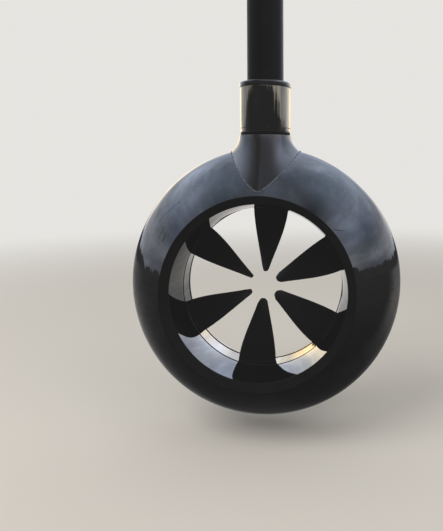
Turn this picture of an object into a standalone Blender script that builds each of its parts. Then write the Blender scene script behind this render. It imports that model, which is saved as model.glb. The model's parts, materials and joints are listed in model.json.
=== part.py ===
"""Hubless rim-driven ship propeller: a polished nozzle ring on a black pole, with six blades that point
inward from a turning rim. Metres, +Z up. The origin is the centre of the pole's flat top, the propeller's
axis runs along Y, and the water enters from the -Y side."""

import math

import bmesh
import bpy
from mathutils import Vector

# Pole, from its flat top down
POLE_OUTER_R = 0.025
POLE_WALL = 0.005
POLE_ABOVE_COLLAR = 0.1629
CAP_HEIGHT = 0.008
CAP_SPIGOT_LENGTH = 0.030
FIT_GAP = 0.0003

# Collar between the pole and the neck
SEAL_HEIGHT = 0.0034
SEAL_INSET = 0.0015
COLLAR_HEIGHT = 0.061
COLLAR_R = 0.0346
BEAD_HEIGHT = 0.0075
BEAD_OVERHANG = 0.0012
BEAD_ARC_POINTS = 7

# Nozzle ring: widest a little behind the pole's axis, long and tapered in front, short and blunt behind
RING_AFT = 0.004
RING_R = 0.188
FRONT_LENGTH = 0.081
REAR_LENGTH = 0.034
FRONT_FULLNESS = 1.45
REAR_FULLNESS = 2.5
SHELL_WALL = 0.005
CORE_CLEARANCE = 0.002
LIP_INSET = 0.006
FRONT_LIP_WIDTH = 0.0108
REAR_LIP_WIDTH = 0.012
LIP_THICKNESS = 0.006
LIP_EDGE_THICKNESS = 0.0015
NOZZLE_WALL = 0.003
INTAKE_FLARE = 0.0062
INTAKE_CURVE = 1.2
OUTLET_FLARE = 0.0132
OUTLET_STRAIGHT = 0.005

# Rotor, its middle plane in front of the pole's axis
ROTOR_Y = -0.0165
RIM_WIDTH = 0.024
RIM_BORE_R = 0.1065
RIM_WALL = 0.005
FRONT_RUNNING_GAP = 0.0022
REAR_RUNNING_GAP = 0.0025
THROAT_STEP = 0.0003
BEARING_WIDTH = 0.004
BEARING_WALL = 0.0035
BEARING_INSET = 0.001

# Blades
BLADE_COUNT = 6
BLADE_AHEAD = 0.002
BLADE_TIP_R = 0.0183
BLADE_PITCH = 0.222
BLADE_ROOT_THICKNESS = 0.0060
BLADE_TIP_THICKNESS = 0.0035
BLADE_EDGE_THICKNESS = 0.0014
BLADE_CORNER = 0.0045
LEADING_ANGLES = (17.0, 20.1, 18.3)
TRAILING_ANGLES = (-7.1, -8.8, -7.8)

# Neck between the collar and the ring
NECK_RISE = 0.0163
NECK_SIDE_REACH = 0.048
NECK_FRONT_MARGIN = 0.004
NECK_REAR_MARGIN = 0.001
NECK_FOOT_POINTING = 1.45
NECK_SIDE_FLARE = 2.0
NECK_FLOW_FLARE = 1.15
NECK_ROOT_DEPTH = 0.010

TURN_STEPS = 60
POLE_STEPS = 40
FRONT_STATIONS = 11
REAR_STATIONS = 7
WALL_STATIONS = 6
NECK_ROWS = 11

THROAT_R = RIM_BORE_R + THROAT_STEP
FRONT_LIP_INNER_R = THROAT_R + INTAKE_FLARE
REAR_LIP_INNER_R = THROAT_R + OUTLET_FLARE
FRONT_CREASE_R = FRONT_LIP_INNER_R + FRONT_LIP_WIDTH
REAR_CREASE_R = REAR_LIP_INNER_R + REAR_LIP_WIDTH
SHELL_FRONT_Y = RING_AFT - FRONT_LENGTH
SHELL_REAR_Y = RING_AFT + REAR_LENGTH
RIM_FRONT_Y = ROTOR_Y - RIM_WIDTH / 2
RIM_REAR_Y = ROTOR_Y + RIM_WIDTH / 2
INTAKE_END_Y = RIM_FRONT_Y - FRONT_RUNNING_GAP
OUTLET_START_Y = RIM_REAR_Y + REAR_RUNNING_GAP
BEARING_R = RIM_BORE_R + RIM_WALL + FIT_GAP
STATOR_BORE_R = BEARING_R + BEARING_WALL + FIT_GAP

# Heights above the propeller's axis, and the axis below the pole's top
NECK_TOP = RING_R + NECK_RISE
SEAL_BOTTOM = NECK_TOP + FIT_GAP
COLLAR_BOTTOM = SEAL_BOTTOM + SEAL_HEIGHT + FIT_GAP
BEAD_BOTTOM = COLLAR_BOTTOM + COLLAR_HEIGHT + FIT_GAP
AXIS_Z = -(BEAD_BOTTOM + BEAD_HEIGHT + POLE_ABOVE_COLLAR)


def clear_scene():
    for old in list(bpy.data.objects):
        bpy.data.objects.remove(old, do_unlink=True)


def make_material(name, colour, roughness, metallic):
    material = bpy.data.materials.new(name)
    material.use_nodes = True
    shader = material.node_tree.nodes["Principled BSDF"]
    shader.inputs["Base Color"].default_value = (*colour, 1.0)
    shader.inputs["Roughness"].default_value = roughness
    shader.inputs["Metallic"].default_value = metallic
    return material


def mesh_object(name, mesh_data, material, parent=None, sharp_angle=30):
    """A new object from a bmesh, with outward faces, smooth shading and one material."""
    bmesh.ops.recalc_face_normals(mesh_data, faces=mesh_data.faces[:])
    mesh = bpy.data.meshes.new(name)
    mesh_data.to_mesh(mesh)
    mesh_data.free()
    mesh.materials.append(material)
    mesh.shade_smooth()
    mesh.set_sharp_from_angle(angle=math.radians(sharp_angle))
    made = bpy.data.objects.new(name, mesh)
    bpy.context.scene.collection.objects.link(made)
    made.parent = parent
    return made


def turned(name, section, material, axis, steps, parent=None):
    """A ring turned from a closed section of (place along the axis, radius) points."""
    rings = bmesh.new()
    rows = []
    for step in range(steps):
        angle = 2 * math.pi * step / steps
        sine = math.sin(angle)
        cosine = math.cos(angle)
        row = []
        for along, radius in section:
            if axis == "Y":
                row.append(rings.verts.new((radius * sine, along, radius * cosine)))
            else:
                row.append(rings.verts.new((radius * sine, radius * cosine, along)))
        rows.append(row)
    count = len(section)
    for step in range(steps):
        here = rows[step]
        there = rows[(step + 1) % steps]
        for index in range(count):
            after = (index + 1) % count
            rings.faces.new((here[index], here[after], there[after], there[index]))
    return mesh_object(name, rings, material, parent)


def turned_solid(name, profile, material, steps, parent=None):
    """A solid turned about Z from (height, radius) points, closed by flat discs at both ends."""
    solid = bmesh.new()
    rows = []
    for height, radius in profile:
        row = []
        for step in range(steps):
            angle = 2 * math.pi * step / steps
            row.append(solid.verts.new((radius * math.sin(angle), radius * math.cos(angle), height)))
        rows.append(row)
    for low, high in zip(rows, rows[1:]):
        for step in range(steps):
            after = (step + 1) % steps
            solid.faces.new((low[step], low[after], high[after], high[step]))
    solid.faces.new(rows[0])
    solid.faces.new(rows[-1])
    return mesh_object(name, solid, material, parent)


def spread(first, last, count):
    return [first + (last - first) * index / (count - 1) for index in range(count)]


def ring_r(y, inset=0.0):
    """Radius of the ring's outside at a place y along the axis, or of a surface an inset inside it."""
    length, crease_r, fullness = FRONT_LENGTH, FRONT_CREASE_R, FRONT_FULLNESS
    if y > RING_AFT:
        length, crease_r, fullness = REAR_LENGTH, REAR_CREASE_R, REAR_FULLNESS
    share = min(abs(y - RING_AFT) / (length - inset), 1.0)
    return crease_r + (RING_R - inset - crease_r) * (1 - share**fullness)


def ring_profile(front_y, rear_y, inset, front_count, rear_count):
    """The ring's profile from front to rear, as (place, radius) points, closer together near its edges."""
    places = []
    for turn in spread(math.pi / 2, 0.0, front_count):
        places.append(RING_AFT + (front_y - RING_AFT) * math.sin(turn))
    for turn in spread(0.0, math.pi / 2, rear_count)[1:]:
        places.append(RING_AFT + (rear_y - RING_AFT) * math.sin(turn))
    return [(y, ring_r(y, inset)) for y in places]


def lip_edge(toward):
    """Place of a black lip's inner edge: -1 for the front lip and 1 for the rear one."""
    crease = SHELL_FRONT_Y if toward < 0 else SHELL_REAR_Y
    return crease - toward * LIP_INSET


def nozzle_end(toward):
    """Place of a nozzle's outer end, just behind its black lip."""
    return lip_edge(toward) - toward * (LIP_EDGE_THICKNESS + FIT_GAP)


def add_pole(materials):
    top = -CAP_HEIGHT - FIT_GAP
    bottom = AXIS_Z + COLLAR_BOTTOM
    inner = POLE_OUTER_R - POLE_WALL
    section = [(bottom, inner), (bottom, POLE_OUTER_R), (top, POLE_OUTER_R), (top, inner)]
    turned("pole_tube", section, materials["black paint"], "Z", POLE_STEPS)
    spigot_r = inner - FIT_GAP
    profile = [
        (-CAP_HEIGHT - CAP_SPIGOT_LENGTH, spigot_r),
        (-CAP_HEIGHT, spigot_r),
        (-CAP_HEIGHT, POLE_OUTER_R),
        (0.0, POLE_OUTER_R),
    ]
    turned_solid("pole_cap", profile, materials["black paint"], POLE_STEPS)


def add_collar(materials):
    bore = POLE_OUTER_R + FIT_GAP
    low = AXIS_Z + COLLAR_BOTTOM
    high = low + COLLAR_HEIGHT
    section = [(low, bore), (low, COLLAR_R), (high, COLLAR_R), (high, bore)]
    turned("collar_sleeve", section, materials["polished steel"], "Z", POLE_STEPS)

    low = AXIS_Z + BEAD_BOTTOM
    half = BEAD_HEIGHT / 2
    bead = [(low, bore)]
    for turn in spread(-math.pi / 2, math.pi / 2, BEAD_ARC_POINTS):
        along = low + half + half * math.sin(turn)
        radius = COLLAR_R + BEAD_OVERHANG - half / 2 * (1 - math.cos(turn))
        bead.append((along, radius))
    bead.append((low + BEAD_HEIGHT, bore))
    turned("collar_bead", bead, materials["polished steel"], "Z", POLE_STEPS)

    low = AXIS_Z + SEAL_BOTTOM
    high = low + SEAL_HEIGHT
    inner = POLE_OUTER_R - POLE_WALL
    outer = COLLAR_R - SEAL_INSET
    seal = [(low, inner), (low, outer), (high, outer), (high, inner)]
    turned("collar_seal", seal, materials["black rubber"], "Z", POLE_STEPS)


def power(value, exponent):
    """A power that keeps the sign of its base."""
    return math.copysign(abs(value) ** exponent, value)


def neck_column(angle):
    """The neck's line at one angle: its top and foot points, and how much it flares between them. The top
    is a circle under the collar, and the foot is a pointed oval that lies on the ring."""
    sine = math.sin(angle)
    cosine = math.cos(angle)
    top = Vector((COLLAR_R * sine, COLLAR_R * cosine, NECK_TOP))
    pointing = 2 / NECK_FOOT_POINTING
    reach = REAR_LENGTH - NECK_REAR_MARGIN if cosine > 0 else FRONT_LENGTH - NECK_FRONT_MARGIN
    x = NECK_SIDE_REACH * power(sine, pointing)
    y = RING_AFT + reach * power(cosine, pointing)
    foot = Vector((x, y, math.sqrt(ring_r(y) ** 2 - x**2)))
    flare = NECK_FLOW_FLARE + (NECK_SIDE_FLARE - NECK_FLOW_FLARE) * sine**2
    return top, foot, flare


def add_neck(materials, housing):
    solid = bmesh.new()
    columns = [neck_column(2 * math.pi * step / POLE_STEPS) for step in range(POLE_STEPS)]
    rows = []
    for share in spread(0.0, 1.0, NECK_ROWS):
        row = []
        for top, foot, flare in columns:
            place = top.lerp(foot, share)
            outward = top.lerp(foot, share**flare)
            row.append(solid.verts.new((outward.x, outward.y, place.z)))
        rows.append(row)
    rows.append([solid.verts.new((foot.x, foot.y, foot.z - NECK_ROOT_DEPTH)) for _, foot, _ in columns])
    for high, low in zip(rows, rows[1:]):
        for step in range(POLE_STEPS):
            after = (step + 1) % POLE_STEPS
            solid.faces.new((low[step], low[after], high[after], high[step]))
    solid.faces.new(rows[0])
    root = solid.verts.new((0.0, RING_AFT, FRONT_CREASE_R - NECK_ROOT_DEPTH))
    for step in range(POLE_STEPS):
        solid.faces.new((rows[-1][step], rows[-1][(step + 1) % POLE_STEPS], root))
    neck = mesh_object("neck_fairing", solid, materials["polished steel"], housing)

    outside = ring_profile(SHELL_FRONT_Y, SHELL_REAR_Y, 0.0, FRONT_STATIONS, REAR_STATIONS)
    seat = [(y, radius + FIT_GAP) for y, radius in outside]
    nose = REAR_LENGTH
    bore = FRONT_CREASE_R / 2
    outline = [
        (SHELL_FRONT_Y - nose, bore),
        (SHELL_FRONT_Y - nose, FRONT_CREASE_R),
        *seat,
        (SHELL_REAR_Y + nose, REAR_CREASE_R),
        (SHELL_REAR_Y + nose, bore),
    ]
    cutter = turned("neck_cutter", outline, materials["polished steel"], "Y", TURN_STEPS, housing)
    cutter.hide_render = True
    cutter.display_type = "WIRE"
    cut = neck.modifiers.new("Seat on the ring", "BOOLEAN")
    cut.operation = "DIFFERENCE"
    cut.solver = "EXACT"
    cut.object = cutter


def add_ring(materials, housing):
    outside = ring_profile(SHELL_FRONT_Y, SHELL_REAR_Y, 0.0, FRONT_STATIONS, REAR_STATIONS)
    wall_front = SHELL_FRONT_Y + SHELL_WALL
    wall_rear = SHELL_REAR_Y - SHELL_WALL
    inside = ring_profile(wall_front, wall_rear, SHELL_WALL, WALL_STATIONS, WALL_STATIONS)
    turned("ring_shell", outside + inside[::-1], materials["polished steel"], "Y", TURN_STEPS, housing)

    core_front = lip_edge(-1) + LIP_THICKNESS + FIT_GAP
    core_rear = lip_edge(1) - LIP_THICKNESS - FIT_GAP
    core_inset = SHELL_WALL + CORE_CLEARANCE
    outer = ring_profile(core_front, core_rear, core_inset, WALL_STATIONS, WALL_STATIONS)
    behind = NOZZLE_WALL + 2 * FIT_GAP
    bend = OUTLET_START_Y + OUTLET_STRAIGHT
    core = outer + [
        (core_rear, outlet_r(core_rear) + behind),
        (bend, max(THROAT_R + behind, STATOR_BORE_R)),
        (OUTLET_START_Y, STATOR_BORE_R),
        (INTAKE_END_Y, STATOR_BORE_R),
        (core_front, intake_r(core_front) + behind),
    ]
    turned("stator_core", core, materials["black resin"], "Y", TURN_STEPS, housing)


def intake_r(y):
    """Radius of the intake nozzle's bore, from the lip in to the rotor."""
    share = max((y - INTAKE_END_Y) / (nozzle_end(-1) - INTAKE_END_Y), 0.0)
    return THROAT_R + INTAKE_FLARE * share**INTAKE_CURVE


def outlet_r(y):
    """Radius of the outlet nozzle's bore: straight just behind the rotor, then a cone out to the rear lip."""
    start = OUTLET_START_Y + OUTLET_STRAIGHT
    share = max((y - start) / (nozzle_end(1) - start), 0.0)
    return THROAT_R + OUTLET_FLARE * share


def add_nozzles(materials, housing):
    intake = spread(INTAKE_END_Y, nozzle_end(-1), 6)
    outlet = [OUTLET_START_Y, OUTLET_START_Y + OUTLET_STRAIGHT, nozzle_end(1)]
    for name, nozzle_r, places in (
        ("intake_nozzle", intake_r, intake),
        ("outlet_nozzle", outlet_r, outlet),
    ):
        bore = [(y, nozzle_r(y)) for y in places]
        back = [(y, nozzle_r(y) + NOZZLE_WALL) for y in reversed(places)]
        turned(name, bore + back, materials["polished steel"], "Y", TURN_STEPS, housing)


def add_lip(name, toward, materials, housing):
    """The black ring between the shell's edge and the nozzle's bore, a shallow cone."""
    crease_r = FRONT_CREASE_R if toward < 0 else REAR_CREASE_R
    inner_r = FRONT_LIP_INNER_R if toward < 0 else REAR_LIP_INNER_R
    edge = lip_edge(toward)
    crease = edge + toward * LIP_INSET
    thin = edge - toward * LIP_EDGE_THICKNESS
    deep = edge - toward * LIP_THICKNESS
    nozzle_back_r = inner_r + NOZZLE_WALL + FIT_GAP
    section = [
        (crease, crease_r - FIT_GAP),
        (edge, inner_r),
        (thin, inner_r),
        (thin, nozzle_back_r),
        (deep, nozzle_back_r),
        (deep, crease_r - 2 * FIT_GAP),
    ]
    turned(name, section, materials["black rubber"], "Y", TURN_STEPS, housing)


def add_bearings(materials, housing):
    for name, start in (
        ("front_bearing", RIM_FRONT_Y + BEARING_INSET),
        ("rear_bearing", RIM_REAR_Y - BEARING_INSET - BEARING_WIDTH),
    ):
        end = start + BEARING_WIDTH
        outer = BEARING_R + BEARING_WALL
        section = [(start, BEARING_R), (end, BEARING_R), (end, outer), (start, outer)]
        turned(name, section, materials["black resin"], "Y", TURN_STEPS, housing)


def add_rim(materials, rotor):
    outer = RIM_BORE_R + RIM_WALL
    section = [
        (RIM_FRONT_Y, RIM_BORE_R),
        (RIM_REAR_Y, RIM_BORE_R),
        (RIM_REAR_Y, outer),
        (RIM_FRONT_Y, outer),
    ]
    turned("rotor_rim", section, materials["polished steel"], "Y", TURN_STEPS, rotor)


def swell(values, share):
    """The parabola through three values at the tip, the middle and the root."""
    tip, middle, root = values
    return (
        tip * (1 - share) * (1 - 2 * share)
        + middle * 4 * share * (1 - share)
        + root * share * (2 * share - 1)
    )


def grid_border(grid):
    """The points around the edge of a grid, in order."""
    leading = [row[0] for row in grid]
    trailing = [row[-1] for row in grid]
    return grid[0] + trailing[1:] + grid[-1][-2::-1] + leading[-2:0:-1]


def blade_mesh():
    """One blade that hangs straight down from the rim's lowest point up to the open middle: a screw surface
    with a lens-shaped section, rounded at its free tip."""
    rows = 9
    columns = 9
    root_r = RIM_BORE_R * math.cos(math.pi / TURN_STEPS) - FIT_GAP
    middle_angle = (LEADING_ANGLES[1] + TRAILING_ANGLES[1]) / 2
    blade = bmesh.new()
    sides = []
    for side in (-1, 1):
        grid = []
        for row in range(rows):
            out = row / (rows - 1)
            line = []
            for column in range(columns):
                across = column / (columns - 1)
                bow = abs(2 * across - 1)
                tip_r = BLADE_TIP_R + BLADE_CORNER * bow**2.5
                radius = tip_r + (root_r - tip_r) * out
                lead = swell(LEADING_ANGLES, out)
                trail = swell(TRAILING_ANGLES, out)
                angle = lead + (trail - lead) * across
                turn = math.radians(angle)
                y = -(angle - middle_angle) / 360 * BLADE_PITCH
                place = Vector((-radius * math.sin(turn), y, -radius * math.cos(turn)))
                advance = BLADE_PITCH / (2 * math.pi)
                around = Vector((-radius * math.cos(turn), -advance, radius * math.sin(turn)))
                outward = Vector((-math.sin(turn), 0.0, -math.cos(turn)))
                normal = around.cross(outward).normalized()
                full = BLADE_TIP_THICKNESS + (BLADE_ROOT_THICKNESS - BLADE_TIP_THICKNESS) * out
                thickness = BLADE_EDGE_THICKNESS + (full - BLADE_EDGE_THICKNESS) * (1 - bow**2)
                shifted = place + normal * side * thickness / 2
                flat = math.hypot(shifted.x, shifted.z)
                line.append(blade.verts.new((shifted.x * radius / flat, shifted.y, shifted.z * radius / flat)))
            grid.append(line)
        sides.append(grid)
    under, over = sides
    for grid in sides:
        for row in range(rows - 1):
            for column in range(columns - 1):
                blade.faces.new(
                    (
                        grid[row][column],
                        grid[row][column + 1],
                        grid[row + 1][column + 1],
                        grid[row + 1][column],
                    )
                )
    low_edge = grid_border(under)
    high_edge = grid_border(over)
    for index in range(len(low_edge)):
        after = (index + 1) % len(low_edge)
        blade.faces.new((low_edge[index], low_edge[after], high_edge[after], high_edge[index]))
    return blade


def add_blades(materials, rotor):
    for number in range(BLADE_COUNT):
        blade = mesh_object(f"blade_{number + 1}", blade_mesh(), materials["black blade"], rotor, 50)
        blade.location = (0.0, ROTOR_Y - BLADE_AHEAD, 0.0)
        blade.rotation_euler = (0.0, 2 * math.pi * number / BLADE_COUNT, 0.0)


def add_empty(name, location):
    empty = bpy.data.objects.new(name, None)
    empty.location = location
    bpy.context.scene.collection.objects.link(empty)
    return empty


def main():
    clear_scene()
    materials = {
        "polished steel": make_material("polished steel", (0.60, 0.62, 0.65), 0.08, 1.0),
        "black paint": make_material("black paint", (0.012, 0.012, 0.013), 0.35, 0.0),
        "black rubber": make_material("black rubber", (0.010, 0.010, 0.011), 0.45, 0.0),
        "black resin": make_material("black resin", (0.015, 0.015, 0.016), 0.50, 0.0),
        "black blade": make_material("black blade", (0.012, 0.012, 0.013), 0.40, 0.0),
    }
    housing = add_empty("housing_axis", (0.0, 0.0, AXIS_Z))
    rotor = add_empty("rotor_axis", (0.0, 0.0, AXIS_Z))
    add_pole(materials)
    add_collar(materials)
    add_neck(materials, housing)
    add_ring(materials, housing)
    add_nozzles(materials, housing)
    add_lip("front_lip", -1, materials, housing)
    add_lip("rear_lip", 1, materials, housing)
    add_bearings(materials, housing)
    add_rim(materials, rotor)
    add_blades(materials, rotor)


main()
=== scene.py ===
# %% [markdown]
# # A hubless rim-driven ship propeller
#
# A mirror-polished nozzle ring hangs from a black pole. Six black blades point inward from a rim that
# turns inside the ring, so the middle stays open. The rim's magnets and the ring's coils are hidden in
# the metal.
#
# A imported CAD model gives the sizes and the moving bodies. This lesson dresses it: most solids get a
# finer twin in the same place, because a mirror shows every flat facet, and each finish is built from
# nodes.

# %% Load the frame
import json
import math

import bmesh
import bpy
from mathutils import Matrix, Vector


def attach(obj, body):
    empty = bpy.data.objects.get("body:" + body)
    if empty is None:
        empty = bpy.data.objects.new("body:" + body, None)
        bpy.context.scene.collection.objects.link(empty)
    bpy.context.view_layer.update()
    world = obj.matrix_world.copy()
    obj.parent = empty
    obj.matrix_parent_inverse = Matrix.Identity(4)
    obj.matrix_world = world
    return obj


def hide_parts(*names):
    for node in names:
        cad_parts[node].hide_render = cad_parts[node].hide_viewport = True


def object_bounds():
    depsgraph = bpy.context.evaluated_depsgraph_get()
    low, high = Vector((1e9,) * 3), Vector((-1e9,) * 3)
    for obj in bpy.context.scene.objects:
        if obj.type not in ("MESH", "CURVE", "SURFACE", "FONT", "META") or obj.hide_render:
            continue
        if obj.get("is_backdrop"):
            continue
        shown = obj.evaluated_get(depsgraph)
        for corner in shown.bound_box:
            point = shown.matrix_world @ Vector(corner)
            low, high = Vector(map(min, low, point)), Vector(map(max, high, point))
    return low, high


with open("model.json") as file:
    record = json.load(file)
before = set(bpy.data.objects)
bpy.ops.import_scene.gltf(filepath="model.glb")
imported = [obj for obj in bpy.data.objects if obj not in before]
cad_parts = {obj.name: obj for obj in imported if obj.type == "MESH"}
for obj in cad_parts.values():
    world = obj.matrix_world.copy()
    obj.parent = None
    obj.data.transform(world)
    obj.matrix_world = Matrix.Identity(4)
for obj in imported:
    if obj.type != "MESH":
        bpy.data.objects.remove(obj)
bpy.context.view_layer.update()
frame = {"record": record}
spin = frame["record"]["behaviour"]["joints"][0]
ROTOR_Y = spin["pos_m"][1]
AXIS_Z = spin["pos_m"][2]
print("propeller axis at z", AXIS_Z)

# %% [markdown]
# ## Helpers for colours and nodes
#
# Colours are picked as sRGB hex values, as on a screen, but shaders add light in linear values, so one
# function converts them. Node trees are long lists of nodes and links, so a second function adds a node
# with its settings and its inputs at once. An input that is another node's output becomes a link.

# %% Colours and nodes


def linear(hex_colour):
    """sRGB hex to a linear RGBA colour."""
    channels = []
    for start in (1, 3, 5):
        value = int(hex_colour[start : start + 2], 16) / 255
        channels.append(value / 12.92 if value <= 0.04045 else ((value + 0.055) / 1.055) ** 2.4)
    return (*channels, 1.0)


def add_node(tree, kind, inputs=(), out=0, stops=(), **settings):
    """A node with its settings, its inputs and its ramp's stops.

    The inputs are a dictionary or the first few in a row, each a fixed value or another node's output.
    The first output is returned, or the one that out names, or the node itself where out is None.
    """
    node = tree.nodes.new(kind)
    for name, value in settings.items():
        setattr(node, name, value)
    for place, colour in stops[2:]:
        node.color_ramp.elements.new(place)
    for index, (place, colour) in enumerate(stops):
        node.color_ramp.elements[index].position = place
        node.color_ramp.elements[index].color = linear(colour)
    for key, source in inputs.items() if isinstance(inputs, dict) else enumerate(inputs):
        if isinstance(source, bpy.types.NodeSocket):
            tree.links.new(source, node.inputs[key])
        else:
            node.inputs[key].default_value = source
    return node if out is None else node.outputs[out]


print("mid grey #808080 is", round(linear("#808080")[0], 3), "in linear light")

# %% [markdown]
# ## The camera
#
# The photograph was taken from the right of the propeller's axis and above it, with the lens level, so
# the ring's circles stay circles. A shifted lens keeps them so: the shift moves the frame over the
# picture without turning the camera. The shift is kept small enough for views from other sides, and the
# camera is turned down and aside by about one degree for the rest, which leans the circles too little to
# see.

# %% Camera
camera_data = bpy.data.cameras.new("camera")
camera_data.lens = 33.67
camera_data.sensor_width = 36.0
camera_data.shift_x = -0.2080
camera_data.shift_y = -0.1600
camera = bpy.data.objects.new("camera", camera_data)
camera.location = (0.1011, -0.6891, AXIS_Z + 0.1574)
camera.rotation_euler = (math.radians(88.655), 0.0, math.radians(0.755))
bpy.context.scene.collection.objects.link(camera)
bpy.context.scene.camera = camera
print("camera", round(-camera.location.y, 3), "m in front of the pole")

# %% [markdown]
# ## The studio
#
# The floor is a plain pale sheet. Far from the propeller it melts into the same pale tone as the world,
# so no horizon shows from any side. Real chrome is photographed between soft cards, because a mirror has
# no look of its own: it shows what stands around it. The world here is such a set of cards. Rays that
# leave a mirror see a cool soft top, a warm low edge behind the propeller and a dark lower half, while
# the camera sees the plain pale tone, and matt surfaces get an even pale light.

# %% Floor
FLOOR_Z = -0.640
FLOOR_R = 9.0
HAZE_START = 0.9
HAZE_END = 2.6
PALE = "#E6E4E0"
SOFT_ENDS = {"interpolation_type": "SMOOTHSTEP"}

floor_mesh = bpy.data.meshes.new("floor")
floor_builder = bmesh.new()
bmesh.ops.create_circle(floor_builder, cap_ends=True, segments=96, radius=FLOOR_R)
bmesh.ops.translate(floor_builder, verts=floor_builder.verts, vec=(0.0, 0.0, FLOOR_Z))
floor_builder.to_mesh(floor_mesh)
floor_builder.free()
floor = bpy.data.objects.new("floor", floor_mesh)
bpy.context.scene.collection.objects.link(floor)
floor.visible_glossy = False
floor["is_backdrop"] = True

floor_material = bpy.data.materials.new("pale studio floor")
floor_material.use_nodes = True
tree = floor_material.node_tree
tree.nodes.clear()
place = add_node(tree, "ShaderNodeTexCoord", out="Object")
distance = add_node(tree, "ShaderNodeVectorMath", (place,), operation="LENGTH", out="Value")
far = add_node(
    tree,
    "ShaderNodeMapRange",
    {"Value": distance, "From Min": HAZE_START, "From Max": HAZE_END},
    **SOFT_ENDS,
)
paper = add_node(tree, "ShaderNodeBsdfDiffuse", {"Color": linear("#DAD8D4")})
haze = add_node(tree, "ShaderNodeEmission", {"Color": linear(PALE), "Strength": 1.0})
blend = add_node(tree, "ShaderNodeMixShader", (far, paper, haze))
add_node(tree, "ShaderNodeOutputMaterial", {"Surface": blend}, out=None)
floor_mesh.materials.append(floor_material)
print("floor", round(1000 * (AXIS_Z - FLOOR_Z)), "mm under the axis")

# %% [markdown]
# ## What the mirrors see
#
# The world's Generated coordinate is the direction that a ray leaves in. Three numbers lay out the cards:
# how high the ray points, how far it points behind the propeller, and its place on the compass, where 0.5
# is straight in front. Each card is a colour ramp over the height, and masks over the second number blend
# the card in front, those at the sides and the one behind. An image of a real place would do the same,
# but a few ramps keep the file plain and every tone adjustable.

# %% Directions
world = bpy.data.worlds.new("soft cards")
bpy.context.scene.world = world
world.use_nodes = True
tree = world.node_tree
tree.nodes.clear()

leaving = add_node(tree, "ShaderNodeTexCoord", out="Generated")
parts = add_node(tree, "ShaderNodeSeparateXYZ", (leaving,), out=None).outputs
height = parts["Z"]
depth = add_node(tree, "ShaderNodeMath", (height, -1.0), operation="MULTIPLY")
flat = add_node(tree, "ShaderNodeCombineXYZ", (parts["X"], parts["Y"]))
around = add_node(tree, "ShaderNodeVectorMath", (flat,), operation="NORMALIZE")
turn = add_node(tree, "ShaderNodeSeparateXYZ", (around,), out=None).outputs
aside = turn["X"]
behind = turn["Y"]
ahead = add_node(tree, "ShaderNodeMath", (behind, -1.0), operation="MULTIPLY")
angle = add_node(tree, "ShaderNodeMath", (aside, ahead), operation="ARCTAN2")
compass = add_node(tree, "ShaderNodeMath", (angle, 0.5 / math.pi, 0.5), operation="MULTIPLY_ADD")
print("directions ready:", len(tree.nodes), "nodes")

# %% Four upper cards
UPPER_CARDS = {
    "behind": (
        (0.00, "#B7A483"),
        (0.05, "#C2AE8A"),
        (0.10, "#C6B18E"),
        (0.15, "#C9B593"),
        (0.21, "#CCC1B0"),
        (0.32, "#CECCC8"),
        (0.46, "#A8ADB6"),
        (0.66, "#848D9F"),
        (1.00, "#676F7D"),
    ),
    "between": (
        (0.00, "#868992"),
        (0.10, "#91949D"),
        (0.22, "#909398"),
        (0.34, "#7D818A"),
        (0.52, "#7E8693"),
        (0.68, "#757E8E"),
        (0.82, "#6B7381"),
        (1.00, "#5E6572"),
    ),
    "beside": (
        (0.00, "#363840"),
        (0.07, "#40434A"),
        (0.12, "#50535A"),
        (0.17, "#4C5058"),
        (0.24, "#40464F"),
        (0.40, "#434B59"),
        (0.60, "#585F6D"),
        (0.84, "#434D5A"),
        (1.00, "#444C58"),
    ),
    "ahead": (
        (0.00, "#5E5E5E"),
        (0.18, "#5A5A5B"),
        (0.32, "#434349"),
        (0.58, "#3B3D44"),
        (0.70, "#292A30"),
        (0.82, "#1C1D21"),
        (0.92, "#363B43"),
        (1.00, "#3C424C"),
    ),
}
upper_card = {}
for name, stops in UPPER_CARDS.items():
    upper_card[name] = add_node(tree, "ShaderNodeValToRGB", (height,), stops=stops)
print("upper cards:", ", ".join(upper_card))

# %% Blending the upper cards round the propeller
backward = add_node(tree, "ShaderNodeMapRange", {"Value": behind, "From Max": 0.7})
backward = add_node(tree, "ShaderNodeMath", (backward, 2.0), operation="POWER")
to_behind = add_node(
    tree, "ShaderNodeMapRange", {"Value": behind, "From Min": 0.70, "From Max": 0.98}, **SOFT_ENDS
)
to_front = add_node(
    tree, "ShaderNodeMapRange", {"Value": behind, "From Min": 0.02, "From Max": -0.45}, **SOFT_ENDS
)
upper = upper_card["beside"]
for share, name in ((backward, "between"), (to_behind, "behind"), (to_front, "ahead")):
    upper = add_node(
        tree, "ShaderNodeMix", {0: share, 6: upper, 7: upper_card[name]}, data_type="RGBA", out=2
    )
print("upper cards blended:", len(tree.nodes), "nodes so far")

# %% Soft patches
# Uneven light on the cards keeps the polish from looking like paint: broad patches, a few finer wisps,
# three white glows, and behind the propeller a warm one on the left and a cool one on the right.


def uneven(squeeze, noise, given, wanted):
    """A gain that wanders between two wanted values over the directions, in patches of a given squeeze."""
    squeezed = add_node(tree, "ShaderNodeMapping", {"Vector": leaving, "Scale": squeeze})
    patches = add_node(tree, "ShaderNodeTexNoise", {"Vector": squeezed, "Scale": 1.0, **noise})
    span = {"From Min": given[0], "From Max": given[1], "To Min": wanted[0], "To Max": wanted[1]}
    return add_node(tree, "ShaderNodeMapRange", {"Value": patches, **span})


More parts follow.
